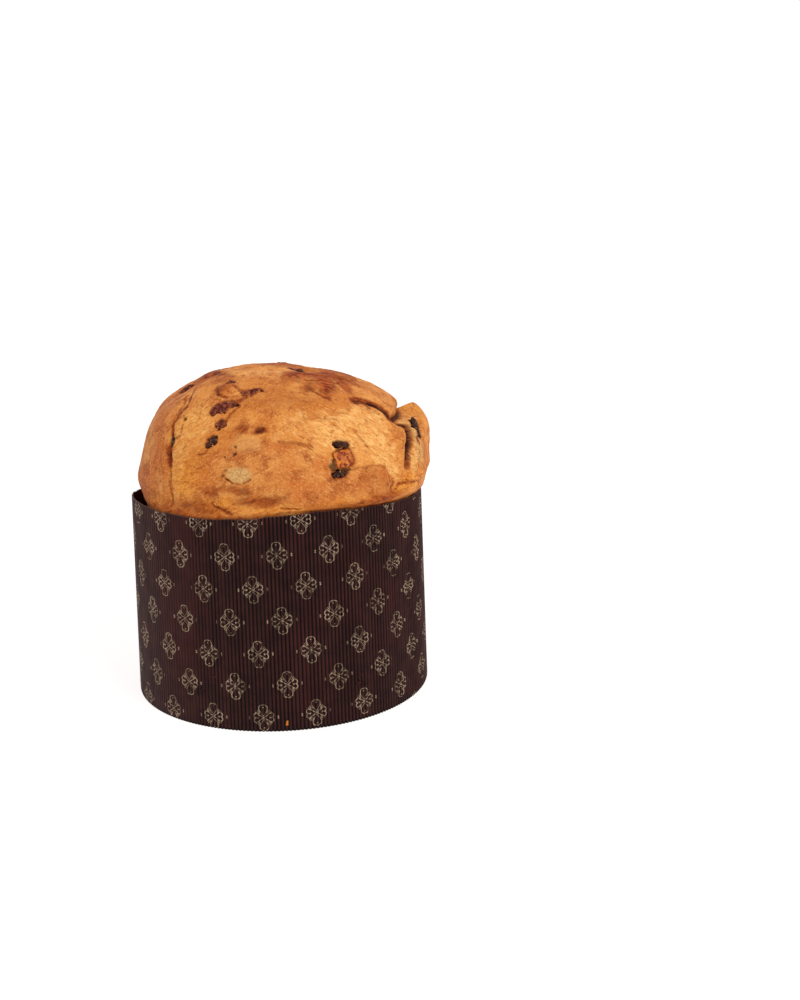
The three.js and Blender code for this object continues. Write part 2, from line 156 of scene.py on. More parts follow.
# Lines that edge a smooth, browner skin from above: azimuth and rise
FRONT_SKIN_EDGE = [
    (-60, -0.1), (-42, -0.06), (-36, 0.02), (-32, 0.14), (-28, 0.24), (-21, 0.302), (-11.5, 0.35), (-1, 0.35),
    (11, 0.297), (18, 0.247), (22, 0.13), (26, 0.147), (33, 0.152), (41, 0.135), (43, 0.105), (44, 0.052),
    (45.5, -0.1)]
BACK_SKIN_EDGE = [(180, 0.1), (184, 0.24), (205, 0.26), (228, 0.22), (229, -0.1)]
# The seam that edges the left skin: rise and azimuth
LEFT_SKIN_SEAM = [
    (-0.1, -46), (0.05, -47), (0.18, -48), (0.25, -50), (0.38, -54.5), (0.5, -56), (0.59, -60), (0.66, -78),
    (0.75, -91), (0.8, -130)]

# Lines drawn on the crust: half width in mm, strength, then points
RUST_LINES = [
    (0.6, 0.75, [(-46, -0.07), (-46, 0.0), (-47, 0.045), (-47, 0.113), (-47.5, 0.18), (-50, 0.24)]),
    (1.1, 1.0, [(-49.5, 0.24), (-48.5, 0.283), (-51, 0.325), (-54, 0.383), (-54, 0.445), (-53, 0.512)]),
    (0.8, 0.9, [(-53, 0.512), (-58, 0.575), (-62.5, 0.625), (-78, 0.67), (-91, 0.75)]),
    (0.6, 0.7, [(-57, 0.46), (-59, 0.53), (-66, 0.6)]),
    (0.6, 0.9, [(-32, 0.245), (-29, 0.255), (-28.5, 0.275)]),
    (0.6, 0.8, [(-25.5, -0.005), (-21.5, -0.033), (-17, -0.06)]),
    (0.6, 1.0, [(-6, -0.06), (-1, -0.056), (7, -0.047), (18, -0.045), (25, -0.03), (34, -0.035)]),
    (0.5, 0.7, [(1, -0.023), (9, -0.028), (15.5, -0.045)]),
    (0.6, 0.55, [(18.5, 0.107), (22, 0.128), (26, 0.147), (32.5, 0.152), (38, 0.143), (41, 0.135), (43, 0.105),
                 (44, 0.052), (45.5, 0.0)]),
    (2.4, 0.9, RIGHT_TEAR), (0.8, 0.9, [(-104, 0.66), (-98, 0.74), (-88, 0.8), (-70, 0.84)]),
    (0.7, 0.9, [(45.5, 0.037), (45.5, -0.02), (50, 0.018), (61.5, 0.0)]),
    (0.7, 0.9, [(72, 0.24), (65.5, 0.208), (67.5, 0.145), (66.5, 0.105), (64, 0.06)]),
    (2.6, 1.0, [(50, 0.535), (54, 0.53), (57, 0.5), (60.5, 0.465), (61.5, 0.42), (60, 0.37)]),
    (0.9, 0.8, [(50, 0.53), (53, 0.5), (53.5, 0.473)]),
    (0.8, 1.0, [(55, 0.84), (66.5, 0.775), (72, 0.7), (78, 0.65)]),
    (0.7, 0.9, [(32, 0.71), (33, 0.65), (36.5, 0.573)]), (0.7, 0.9, [(40, 0.76), (52, 0.73), (60, 0.67)]),
    (1.4, 0.9, [(151, 0.82), (140, 0.79), (133, 0.785)]), (1.4, 0.9, [(133, 0.785), (123, 0.73), (114, 0.667)]),
    (1.2, 0.9, [(-112, 0.7), (-119, 0.745), (-126, 0.775)]),
    (1.0, 1.0, [(75, 0.74), (83.5, 0.69), (87.5, 0.623)]),
    (0.8, 0.95, [(-39, 0.68), (-32.5, 0.638), (-25.5, 0.623)]),
    (1.2, 0.8, [(-24, 0.72), (-17, 0.69), (-8, 0.695)]),
    (0.5, 0.5, [(33, 0.475), (37.5, 0.458), (38.5, 0.42)]),
    (0.5, 0.45, [(34.5, 0.36), (36, 0.31), (38, 0.247)]),
    (0.5, 0.45, [(22, 0.46), (29, 0.44), (33, 0.4)]), (0.9, 0.5, [(3, 0.333), (9, 0.32), (14.5, 0.292)]),
    (1.5, 0.7, [(-32, 0.51), (-25.5, 0.545), (-18, 0.6), (-14, 0.64)]),
    (0.8, 0.7, [(-21, 0.48), (-16.5, 0.565)]), (1.7, 1.0, [(-50, 0.245), (-48.6, 0.205), (-47.6, 0.16)]),
    (0.5, 0.6, [(-66, 0.66), (-62, 0.6), (-60, 0.54)]), (0.5, 0.5, [(-50, 0.47), (-46, 0.4), (-45, 0.33)]),
    # The arc along the blister's lower edge is partly its browner rim and partly painted shade under it
    (0.5, 0.9, [(-20, 0.13), (-17, 0.105), (-13, 0.1), (-9.5, 0.125)]),
    (0.9, 0.9, BACK_TEAR), (2.2, 0.5, BACK_TEAR), (0.8, 0.9, SHORT_TEAR), (1.6, 0.7, BEHIND_FLAP),
    (0.6, 0.8, [(130, 0.62), (142, 0.66), (150, 0.61)]), (0.6, 0.7, [(-150, 0.72), (-138, 0.66), (-133, 0.58)]),
    (0.5, 0.8, [(182, 0.1), (184, 0.24), (205, 0.26), (228, 0.22)]),
]
# Painted shade: near-black down the deepest cracks and folds, where the crust is also pressed in. Half width,
# strength, then points
CRACK_SHADE_LINES = [
    (1.1, 1.0, [(60.5, 0.375), (62.5, 0.345), (64.5, 0.3), (64, 0.27), (61.5, 0.22), (60, 0.19), (57, 0.14)]),
    (0.6, 0.95, [(57, 0.26), (57.5, 0.23), (58.5, 0.2)]),
    (1.3, 1.0, [(57, 0.495), (60, 0.47), (61.5, 0.43), (61, 0.38)]),
    (0.5, 0.7, [(150, 0.83), (140, 0.8), (128, 0.76)]),
    (0.6, 0.7, [(50, 0.535), (54, 0.53), (57, 0.5)]), (0.8, 0.8, [(-116, 0.725), (-122, 0.755)]),
    (0.6, 0.9, [(-49.5, 0.34), (-50.5, 0.31), (-49.5, 0.28)]),
    (0.6, 0.5, [(-6, -0.06), (7, -0.05), (16, -0.048)]), (0.5, 0.8, [(24, 0.265), (29.5, 0.262)]),
    (0.7, 0.8, [(21.5, 0.2), (21.5, 0.16), (22.5, 0.14), (27, 0.152)]),
    (0.8, 0.7, [(169, 0.14), (171, 0.26), (164, 0.37)]),
    (1.0, 0.85, BEHIND_FLAP),
]
# Dark specks and bits just under the skin: azimuth, rise, half length, half width, turn, strength
DARK_SPOTS = [
    (-49, 0.215, 1.3, 2.0, 0, 0.6), (-56.5, 0.292, 1.0, 0.8, 0, 0.7), (-47.5, 0.438, 1.3, 1.1, 0, 0.8),
    (-5, 0.403, 3.0, 1.9, 0, 0.6), (-15.5, 0.302, 1.0, 0.7, 0, 0.75), (-16, 0.26, 0.8, 1.2, 0, 0.8),
    (-20, 0.238, 0.8, 0.7, 0, 0.7), (-20.5, 0.138, 0.9, 0.8, 0, 0.6), (-19.6, 0.165, 0.8, 0.7, 0, 0.5),
    (-18.5, 0.115, 0.8, 0.7, 0, 0.5), (21.3, 0.165, 2.0, 2.4, 30, 0.75), (26.6, 0.292, 2.8, 0.9, -10, 0.7),
    (83.5, 0.795, 2.4, 1.4, 0, 0.8), (150, 0.25, 1.2, 1.0, 0, 0.8), (-140, 0.4, 1.4, 1.1, 0, 0.7),
    (120, 0.55, 1.4, 1.0, 0, 0.7), (-110, 0.25, 1.1, 0.9, 0, 0.7), (-172, 0.6, 1.6, 1.1, 0, 0.7),
]


def ease(value):
    """Smooth step from 0 to 1 as the value goes from 0 to 1."""
    clipped = np.clip(value, 0.0, 1.0)
    return clipped * clipped * (3.0 - 2.0 * clipped)


def bell(value):
    """Bell curve: 1 in the middle, about a third at one width."""
    return np.exp(-np.square(value))


def turn_between(azimuth, other):
    """Difference of two azimuths, from -180 to 180."""
    return (azimuth - other + 180.0) % 360.0 - 180.0


def on_circle(azimuth, radius, height):
    angle = np.radians(azimuth)
    return np.stack(np.broadcast_arrays(radius * np.sin(angle), -radius * np.cos(angle), height), axis=-1)


def rim_height(azimuth):
    height = CASE_HEIGHT
    for middle, lift, spread in RIM_WAVES:
        height = height + lift * bell(turn_between(azimuth, middle) / spread)
    return height


def case_radius(height):
    return CASE_BASE_RADIUS + (CASE_TOP_RADIUS - CASE_BASE_RADIUS) * height / CASE_HEIGHT


def room_in_case(height):
    return case_radius(height) - PAPER / 2 - FLUTE_DEPTH - GAP


def dome_point(azimuth, rise):
    """Smooth dome before its relief; a rise of -0.01 is 1 mm below the dome's foot."""
    angle = np.maximum(rise, 0.0) * math.pi / 2
    widest = DOME_RADIUS + DOME_OVERHANG * np.sin(np.radians(azimuth))
    radius = widest * np.cos(angle) ** DOME_FULLNESS
    height = DOME_FOOT + DOME_HEIGHT * np.sin(angle) ** DOME_FULLNESS + 100.0 * np.minimum(rise, 0.0)
    point = on_circle(azimuth, radius, height)
    point[..., 0] += DOME_LEAN * np.sin(angle) ** 2
    return point


def outward(azimuth, rise):
    angle = np.maximum(rise, 0.0) * math.pi / 2
    return on_circle(azimuth, np.cos(angle), np.sin(angle))


def distance_to_line(points, line):
    """Shortest distance from each point to a line of straight pieces."""
    shortest = np.full(len(points), np.inf)
    for start, end in zip(line, line[1:]):
        along = end - start
        share = np.clip((points - start) @ along / (along @ along), 0.0, 1.0)
        gap = points - start - share[:, None] * along
        shortest = np.minimum(shortest, np.linalg.norm(gap, axis=1))
    return shortest


def noise_at(points, size, offset=0.0, octaves=2):
    """Fractal noise whose features are about that many mm wide, roughly from -1 to 1."""
    places = (points / size + offset).tolist()
    return np.array([noise.fractal(place, 1.0, 2.0, octaves) for place in places])


def spot(points, azimuth, rise, length, width, turn):
    """Distance from a spot on the dome, counted in its own half length and half width."""
    out = outward(azimuth, rise)
    level = on_circle(azimuth + 90.0, 1.0, 0.0)
    up = np.cross(out, level)
    angle = math.radians(turn)
    along = math.cos(angle) * level + math.sin(angle) * up
    across = math.cos(angle) * up - math.sin(angle) * level
    away = points - dome_point(azimuth, rise)
    return np.sqrt((away @ along / length) ** 2 + (away @ across / width) ** 2 + (away @ out / 20.0) ** 2)


def zone_mask(points, zones, softness=0.5):
    """Oval zones painted on the crust, each as strong as its row says."""
    mask = np.zeros(len(points))
    for azimuth, rise, length, width, turn, strength in zones:
        inside = ease((1.0 + softness / 2 - spot(points, azimuth, rise, length, width, turn)) / softness)
        mask = np.maximum(mask, strength * inside)
    return mask


def line_mask(points, lines):
    """Lines drawn on the crust, with a narrow soft edge."""
    mask = np.zeros(len(points))
    for width, strength, path in lines:
        away = distance_to_line(points, [dome_point(*place) for place in path])
        mask = np.maximum(mask, strength * ease(2.0 - 1.15 * away / width))
    return mask


def smooth_skin(azimuth, rise):
    """Share of smooth browner skin: the left flap, the front panels and one panel at the back."""
    front = np.interp(azimuth, *zip(*FRONT_SKIN_EDGE), left=-0.1, right=-0.1)
    back = np.interp(azimuth % 360.0, *zip(*BACK_SKIN_EDGE), left=-0.1, right=-0.1)
    seam = np.interp(rise, *zip(*LEFT_SKIN_SEAM))
    left = ease((seam - azimuth) / 1.5) * ease((azimuth + 125.0) / 12.0)
    return np.maximum(ease((np.maximum(front, back) - rise) / 0.03 + 0.5), left)


def tuck(azimuth, height, held=False):
    """How far the dough draws in at that height, or inside the case where it is held there."""
    depth = np.zeros(len(azimuth))
    for fold in TUCKS:
        share = bell(turn_between(azimuth, fold["azimuth"]) / fold["spread"])
        grow = 1.0 - np.exp(-np.maximum(fold["top"] - height, 0.0) / fold["reach"])
        if fold["held"] or not held:
            depth += fold["depth"] * share * grow
    return depth * ease((height - TUCK_END[0]) / (TUCK_END[1] - TUCK_END[0]))


def relief(azimuth, rise, points):
    """Height of the crust over the smooth dome."""
    angle = np.radians(azimuth)
    slow = 0.5 * np.sin(3 * angle + 7 * rise) * np.sin(9 * rise + 1)
    quick = 0.3 * np.sin(7 * angle - 11 * rise) * np.cos(14 * rise)
    height = (slow + quick) * np.cos(rise * math.pi / 2)
    side = bell(turn_between(azimuth, FLAP["azimuth"]) / FLAP["spread"])
    top = np.interp(azimuth, *zip(*FLAP_TOP))
    grow = ease((rise - FLAP["low"]) / (top - FLAP["low"] - FLAP["edge"]))
    height += FLAP["height"] * side * grow * ease((top - rise) / FLAP["edge"])
    for start, end, top, size, ramp in PANELS:
        from_start = ease(turn_between(azimuth, start) / ramp)
        to_end = ease(turn_between(end, azimuth) / PANEL_END)
        height += size * from_start * to_end * ease((top - rise) / PANEL_EDGE)
    for middle, middle_rise, size, radius in SWELLINGS:
        away = np.linalg.norm(points - dome_point(middle, middle_rise), axis=1)
        height += size * bell(away / radius)
    for depth, width, path in FOLDS:
        line = [dome_point(*place) for place in path]
        height -= depth * bell(distance_to_line(points, line) / width)
    return height


# Meshes from rows and columns

def spun_skin(rows, columns):
    """Closed ball skin, spun from a half circle: rows run from its top to its bottom."""
    ball = bmesh.new()
    half = []
    for row in range(rows + 1):
        angle = math.pi * row / rows
        half.append(ball.verts.new((math.sin(angle), 0.0, math.cos(angle))))
    edges = [ball.edges.new(pair) for pair in zip(half, half[1:])]
    bmesh.ops.spin(
        ball, geom=half + edges, cent=(0, 0, 0), axis=(0, 0, 1), angle=2 * math.pi, steps=columns,
        use_merge=True, use_duplicate=False)
    bmesh.ops.remove_doubles(ball, verts=ball.verts, dist=1e-6)
    bmesh.ops.recalc_face_normals(ball, faces=ball.faces)
    return ball


def row_and_azimuth(ball, rows):
    """Row number and azimuth of each vertex of a spun skin."""
    places = np.array([vert.co for vert in ball.verts])
    row = np.rint(np.arccos(np.clip(places[:, 2], -1.0, 1.0)) * rows / math.pi).astype(int)
    azimuth = np.degrees(np.arctan2(places[:, 0], -places[:, 1]))
    azimuth[(row == 0) | (row == rows)] = 0.0
    return row, azimuth


def finished(name, shape, points):
    """Object from a bmesh whose vertices go to these places, in mm."""
    mesh = bpy.data.meshes.new(name)
    shape.to_mesh(mesh)
    shape.free()
    mesh.vertices.foreach_set("co", (points * MM).ravel())
    mesh.polygons.foreach_set("use_smooth", [True] * len(mesh.polygons))
    mesh.update()
    piece = bpy.data.objects.new(name, mesh)
    bpy.context.scene.collection.objects.link(piece)
    return piece


def paint(piece, name, values):
    """Store one number for each vertex, for the material to read."""
    attribute = piece.data.attributes.new(name, "FLOAT", "POINT")
    attribute.data.foreach_set("value", values.astype(np.float32))


def hand_in(piece, material, slot, *nodes):
    """Give the piece its material and its body, and hide the nodes that it stands for. The slot is not used."""
    piece.data.materials.append(material)
    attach(piece, "root")
    if nodes:
        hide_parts(*nodes)
    return piece


# Materials

SMOOTH = {"interpolation_type": "SMOOTHSTEP"}
COLOURS = {"data_type": "RGBA"}


def colour(code):
    """Linear colour from an sRGB hex code."""
    channels = [int(code[i:i + 2], 16) / 255 for i in (1, 3, 5)]
    linear = [c / 12.92 if c <= 0.04045 else ((c + 0.055) / 1.055) ** 2.4 for c in channels]
    return (*linear, 1.0)


def per_metre(millimetres):
    """Noise scale for features of that real size."""
    return 1000.0 / millimetres


def add(tree, kind, *values, **named):
    """Add one shader node and give the first output that it shows.

    Values are links, numbers or sRGB hex codes for the sockets that it shows, in their order. A name with a
    capital is a socket too, and any other name is a setting.
    """
    made = tree.nodes.new("ShaderNode" + kind)
    for name, value in named.items():
        if name[0].islower():
            setattr(made, name, value)
    given = list(zip([socket for socket in made.inputs if socket.enabled], values))
    given += [(made.inputs[name], value) for name, value in named.items() if name[0].isupper()]
    for socket, value in given:
        if isinstance(value, bpy.types.NodeSocket):
            tree.links.new(value, socket)
        else:
            socket.default_value = colour(value) if isinstance(value, str) else value
    return next(socket for socket in made.outputs if socket.enabled)


def new_material(name):
    """Empty material, its node tree, its shader and its object coordinates."""
    material = bpy.data.materials.new(name)
    material.use_nodes = True
    tree = material.node_tree
    shader = tree.nodes["Principled BSDF"]
    place = add(tree, "TexCoord").node.outputs["Object"]
    return material, tree, shader, place


def patterns(tree, places, table):
    """Noise for each row of a table: its name, where it lies, size in mm, detail, roughness and distortion."""
    made = {}
    for name, where, size, detail, roughness, distortion in table:
        made[name] = add(
            tree, "TexNoise", places[where], Scale=per_metre(size), Detail=detail, Roughness=roughness,
            Distortion=distortion)
    return made


def lay(tree, under, over, mask, strength=1.0):
    """Lay one colour over another where the mask is, as strongly as said."""
    share = add(tree, "Math", mask, strength, operation="MULTIPLY")
    return add(tree, "Mix", share, under, over, **COLOURS)


def lay_where(tree, under, over, value, low, high, strength=1.0):
    """Lay one colour over another where the value goes from low to high."""
    return lay(tree, under, over, add(tree, "MapRange", value, low, high, **SMOOTH), strength)


# Numbers painted on the crust for its material
CRUST_MARKS = ("torn", "smooth_skin", "amber", "browning", "rust", "pale", "crevice_shade_and_specks")
CRUST_PATTERNS = [
    ("clouds", "place", 22.0, 3.0, 0.55, 0.0),
    ("patches", "place", 7.0, 5.0, 0.6, 0.0),
    ("stains", "level", 9.0, 4.0, 0.6, 0.8),
    ("wander", "level", 13.0, 3.0, 0.55, 1.6),
    ("fibres", "level", 4.5, 4.0, 0.65, 0.8),
    ("threads", "level", 2.2, 3.0, 0.6, 0.5),
    ("pores", "level", 1.7, 1.0, 0.55, 0.6),
    ("stripes", "upright", 2.6, 3.0, 0.55, 0.5),
    ("grain", "place", 1.0, 3.0, 0.65, 0.0),
]


def crust_places(tree, place):
    """Coordinates whose fibres sink from the middle to both sides, upright ones, and the share of the left."""
    x, y, z = add(tree, "SeparateXYZ", place).node.outputs
    aside = add(tree, "Math", x, operation="ABSOLUTE")
    sunk = add(tree, "Math", aside, 0.5, z, operation="MULTIPLY_ADD")
    level = add(tree, "CombineXYZ", x, y, add(tree, "Math", sunk, 2.8, operation="MULTIPLY"))
    upright = add(tree, "Mapping", place, Scale=(1.0, 1.0, 0.3))
    at_left = add(tree, "MapRange", x, -0.052, -0.062, **SMOOTH)
    return {"place": place, "level": level, "upright": upright}, at_left


def crust_material():
    """Baked enriched dough: a dry golden-brown skin, and paler stringy crumb where the dough tore, with painted
    shade in its cracks and round its fruit.
    """
    material, tree, shader, place = new_material("baked_crust")
    marks = {}
    for name in CRUST_MARKS:
        marks[name] = add(tree, "Attribute", attribute_name=name).node.outputs["Fac"]
    places, at_left = crust_places(tree, place)
    made = patterns(tree, places, CRUST_PATTERNS)
    # Skins: golden all over, tanned where it stayed smooth, crumb where it tore, amber where it was wet
    golden = lay_where(tree, "#c8762f", "#dd9145", made["clouds"], 0.38, 0.62)
    golden = lay_where(tree, golden, "#b9652a", made["patches"], 0.46, 0.68)
    tanned = lay_where(tree, "#c26a2d", "#d48a44", made["clouds"], 0.38, 0.62)
    tanned = lay_where(tree, tanned, "#ab5a26", made["patches"], 0.45, 0.7)
    crumb = lay_where(tree, "#f2b96e", "#da8e42", made["fibres"], 0.34, 0.66)
    crumb = lay_where(tree, crumb, "#bd6a28", made["stains"], 0.52, 0.64, 0.6)
    amber = lay_where(tree, "#ea9a36", "#c66a1e", made["fibres"], 0.4, 0.62)
    base = lay(tree, golden, tanned, marks["smooth_skin"])
    base = lay(tree, base, crumb, marks["torn"])
    base = lay(tree, base, amber, marks["amber"], 0.95)
    # Threads a little lighter and darker than the skin, upright stripes in the left flap, and thin wrinkles
    base = lay_where(tree, base, "#eeb46a", made["threads"], 0.53, 0.66, 0.35)
    base = lay_where(tree, base, "#a4541f", made["threads"], 0.46, 0.34, 0.32)
    stripe = add(tree, "MapRange", made["stripes"], 0.47, 0.36, **SMOOTH)
    base = lay(tree, base, "#924a1f", add(tree, "Math", stripe, at_left, operation="MULTIPLY"), 0.45)
    wrinkle = near_line(tree, add(tree, "Math", made["wander"], 0.5, operation="SUBTRACT"), 0.01)
    rough_patch = add(tree, "MapRange", made["patches"], 0.48, 0.55, **SMOOTH)
    base = lay(tree, base, "#8e3f14", add(tree, "Math", wrinkle, rough_patch, operation="MULTIPLY"), 0.75)
    base = lay_where(tree, base, "#7a3410", made["pores"], 0.68, 0.73, 0.45)
    base = lay_where(tree, base, "#f2c080", made["grain"], 0.46, 0.3, 0.35)
    # Browned by the oven, pale where a blister rose, scorched along the tears
    toasted = lay_where(tree, "#b2561d", "#702709", made["fibres"], 0.38, 0.62)
    uneven = add(tree, "MapRange", made["patches"], 0.0, 0.42, **SMOOTH)
    base = lay(tree, base, toasted, add(tree, "Math", marks["browning"], uneven, operation="MULTIPLY"))
    blister = lay_where(tree, "#b28750", "#e6bf7e", made["grain"], 0.42, 0.6)
    base = lay(tree, base, blister, marks["pale"], 0.75)
    scorch = lay_where(tree, "#6a260b", "#9c481a", made["threads"], 0.4, 0.6)
    uneven = add(tree, "MapRange", made["fibres"], 0.15, 0.45, **SMOOTH)
    base = lay(tree, base, scorch, add(tree, "Math", marks["rust"], uneven, operation="MULTIPLY"))
    base = lay_where(tree, base, "#8a4417", made["grain"], 0.55, 0.7, 0.4)
    # Painted shade: near-black down the cracks and folds and in the hollows round the fruit, together with the
    # dark specks under the skin
    base = lay(tree, base, "#220a05", marks["crevice_shade_and_specks"])
    tree.links.new(base, shader.inputs["Base Color"])
    rough = add(tree, "MapRange", made["patches"], 0.0, 1.0, 0.55, 0.8)
    tree.links.new(rough, shader.inputs["Roughness"])
    shader.inputs["Specular IOR Level"].default_value = 0.1
    deep = add(tree, "Bump", Strength=0.5, Distance=0.0005, Height=made["fibres"])
    middle = add(tree, "Bump", Strength=0.5, Distance=0.0004, Height=made["patches"], Normal=deep)
    fine = add(tree, "Bump", Strength=0.4, Distance=0.0002, Height=made["grain"], Normal=middle)
    tree.links.new(fine, shader.inputs["Normal"])
    return material


RAISIN_PATTERNS = [
    ("wrinkles", "place", 1.8, 4.0, 0.55, 0.0),
    ("crumbs", "place", 1.4, 2.0, 0.55, 0.0),
    ("redness", "place", 26.0, 1.0, 0.55, 0.0),
]


def raisin_material():
    """Dried grape: dark wrinkled skin, a little glossy, redder high on the dome, with crumbs stuck on."""
    material, tree, shader, place = new_material("dried_raisin")
    made = patterns(tree, {"place": place}, RAISIN_PATTERNS)
    x, _, z = add(tree, "SeparateXYZ", place).node.outputs
    high = add(tree, "MapRange", z, 0.16, 0.166, **SMOOTH)
    left = add(tree, "MapRange", x, 0.02, 0.01, **SMOOTH)
    here = add(tree, "Math", high, left, operation="MULTIPLY")
    there = add(tree, "MapRange", made["redness"], 0.58, 0.68, **SMOOTH)
    redness = add(tree, "Math", here, there, operation="MAXIMUM")
    folds = lay(tree, "#200d08", "#4a170b", redness)
    skin = lay(tree, "#502a1b", "#8e4126", redness)
    base = lay_where(tree, folds, skin, made["wrinkles"], 0.42, 0.6)
    base = lay_where(tree, base, "#c68a54", made["crumbs"], 0.62, 0.68, 0.7)
    tree.links.new(base, shader.inputs["Base Color"])
    shader.inputs["Roughness"].default_value = 0.5
    shader.inputs["Specular IOR Level"].default_value = 0.15
    bump = add(tree, "Bump", Strength=0.8, Distance=0.0005, Height=made["wrinkles"])
    tree.links.new(bump, shader.inputs["Normal"])
    return material


PEEL_PATTERNS = [
    ("clouds", "place", 4.0, 3.0, 0.55, 0.0),
    ("pits", "place", 2.6, 4.0, 0.55, 0.0),
    ("grain", "place", 1.1, 2.0, 0.55, 0.0),
]


def peel_material():
    """Candied orange peel: syrup-soaked amber, darker where it baked."""
    material, tree, shader, place = new_material("candied_peel")
    made = patterns(tree, {"place": place}, PEEL_PATTERNS)
    base = lay_where(tree, "#a84e18", "#d47c30", made["clouds"], 0.4, 0.6)
    base = lay_where(tree, base, "#7c2e0c", made["pits"], 0.48, 0.6)
    tree.links.new(base, shader.inputs["Base Color"])
    shader.inputs["Roughness"].default_value = 0.35
    shader.inputs["Specular IOR Level"].default_value = 0.2
    bump = add(tree, "Bump", Strength=0.4, Distance=0.0004, Height=made["grain"])
    tree.links.new(bump, shader.inputs["Normal"])
    return material


# Print of the case, in mm on the flat sheet: florets in staggered rows
PRINT_COLUMN = 28.4
PRINT_ROW = 18.0
PRINT_START = (2.4, 98.5)
PRINT_SLANT = 0.042
PRINT_RADIUS = 83.6
FLORET_SIZE = 0.94
LINE = 0.2
RAY_TURN = 0.85
RAY_SPREAD = 0.19
# Its dots: place in the floret's upper right quarter and radius
FLORET_DOTS = [(0.0, 0.0, 0.5), (3.6, 0.0, 0.4), (0.0, 6.3, 0.32), (8.3, 0.5, 0.36)]


def near_line(tree, distance, width):
    """1 within that width of a line, fading at its edge; distance may be signed."""
    size = add(tree, "Math", distance, operation="ABSOLUTE")
    return add(tree, "MapRange", size, width * 1.6, width * 0.7, **SMOOTH)


def inside(tree, value, low, high):
    """1 where the value lies between low and high."""
    above = add(tree, "Math", value, low, operation="GREATER_THAN")
    below = add(tree, "Math", value, high, operation="LESS_THAN")
    return add(tree, "Math", above, below, operation="MULTIPLY")


def distance_from(tree, x, y, x_middle, y_middle):
    across = add(tree, "Math", x, x_middle, operation="SUBTRACT")
    along = add(tree, "Math", y, y_middle, operation="SUBTRACT")
    squares = [add(tree, "Math", way, 2.0, operation="POWER") for way in (across, along)]
    return add(tree, "Math", add(tree, "Math", *squares, operation="ADD"), operation="SQRT")


def floret_quarter(tree, sheet_x, sheet_y):
    """Place on the nearest floret, folded into its upper right quarter."""
    slanted = add(tree, "Math", sheet_y, PRINT_SLANT, operation="MULTIPLY")
    turned_x = add(tree, "Math", sheet_x, slanted, operation="ADD")
    slanted = add(tree, "Math", sheet_x, PRINT_SLANT, operation="MULTIPLY")
    turned_y = add(tree, "Math", sheet_y, slanted, operation="SUBTRACT")
    row = add(tree, "Math", turned_y, PRINT_START[1] - PRINT_ROW / 2, operation="SUBTRACT")
    row = add(tree, "Math", row, PRINT_ROW, operation="DIVIDE")
    odd = add(tree, "Math", add(tree, "Math", row, operation="FLOOR"), 2.0, operation="FLOORED_MODULO")
    column = add(tree, "Math", turned_x, PRINT_START[0], operation="SUBTRACT")
    column = add(tree, "Math", column, PRINT_COLUMN, operation="DIVIDE")
    shift = add(tree, "Math", odd, 0.5, 0.5, operation="MULTIPLY_ADD")
    column = add(tree, "Math", column, shift, operation="ADD")
    folded = []
    for count, size in ((column, PRINT_COLUMN), (row, PRINT_ROW)):
        part = add(tree, "Math", count, operation="FRACT")
        part = add(tree, "Math", part, 0.5, operation="SUBTRACT")
        part = add(tree, "Math", part, size, operation="MULTIPLY")
        part = add(tree, "Math", part, operation="ABSOLUTE")
        folded.append(add(tree, "Math", part, FLORET_SIZE, operation="DIVIDE"))
    return folded


def floret_print(tree, sheet_x, sheet_y):
    """Ink share of a traditional four-petal floret with rays and dots, repeated over the sheet."""
    side, height = floret_quarter(tree, sheet_x, sheet_y)
    middle = distance_from(tree, side, height, 0.0, 0.0)
    # A tall petal, half a heart beside it with its flank, and three rays between them
    slim = add(tree, "Math", height, 0.42, 0.28, operation="MULTIPLY_ADD")
    slim = add(tree, "Math", side, slim, operation="DIVIDE")
    tall = add(tree, "Math", add(tree, "Math", height, 4.5, operation="SUBTRACT"), 3.3, operation="DIVIDE")
    petal = add(tree, "Math", distance_from(tree, slim, tall, 0.0, 0.0), 1.0, operation="SUBTRACT")
    lobe = add(tree, "Math", distance_from(tree, side, height, 4.3, 1.35), 1.4, operation="SUBTRACT")
    outer = add(tree, "Math", side, 3.9, operation="GREATER_THAN")
    lobe = add(tree, "Math", near_line(tree, lobe, LINE), outer, operation="MULTIPLY")
    flank = add(tree, "Math", side, 0.66, operation="MULTIPLY")
    flank = near_line(tree, add(tree, "Math", height, flank, operation="SUBTRACT"), LINE * 1.1)
    flank = add(tree, "Math", flank, inside(tree, side, 0.6, 4.0), operation="MULTIPLY")
    turn = add(tree, "Math", height, side, operation="ARCTAN2")
    turn = add(tree, "Math", add(tree, "Math", turn, RAY_TURN, operation="SUBTRACT"), operation="ABSOLUTE")
    apart = add(tree, "Math", turn, RAY_SPREAD, operation="SUBTRACT")
    apart = add(tree, "Math", apart, operation="ABSOLUTE")
    ray = add(tree, "Math", add(tree, "Math", turn, apart, operation="MINIMUM"), middle, operation="MULTIPLY")
    ray = near_line(tree, ray, LINE * 0.8)
    ray = add(tree, "Math", ray, inside(tree, middle, 3.5, 5.8), operation="MULTIPLY")
    dots = []
    for x, y, radius in FLORET_DOTS:
        dots.append(near_line(tree, distance_from(tree, side, height, x, y), radius))
    ink = near_line(tree, petal, LINE / 3.8)
    for mark in (lobe, flank, ray, *dots):
        ink = add(tree, "Math", ink, mark, operation="MAXIMUM")
    return ink


# Spots of syrup and stuck crumbs on the case: place on the sheet and radius in mm
SYRUP_SPOTS = [(-48.9, 20.5, 2.6), (42.3, 21.5, 2.8), (42.6, 27.0, 1.4), (-39.0, 29.5, 1.2)]
STUCK_CRUMBS = [(0.2, 4.1, 0.9), (0.4, 5.3, 0.8)]


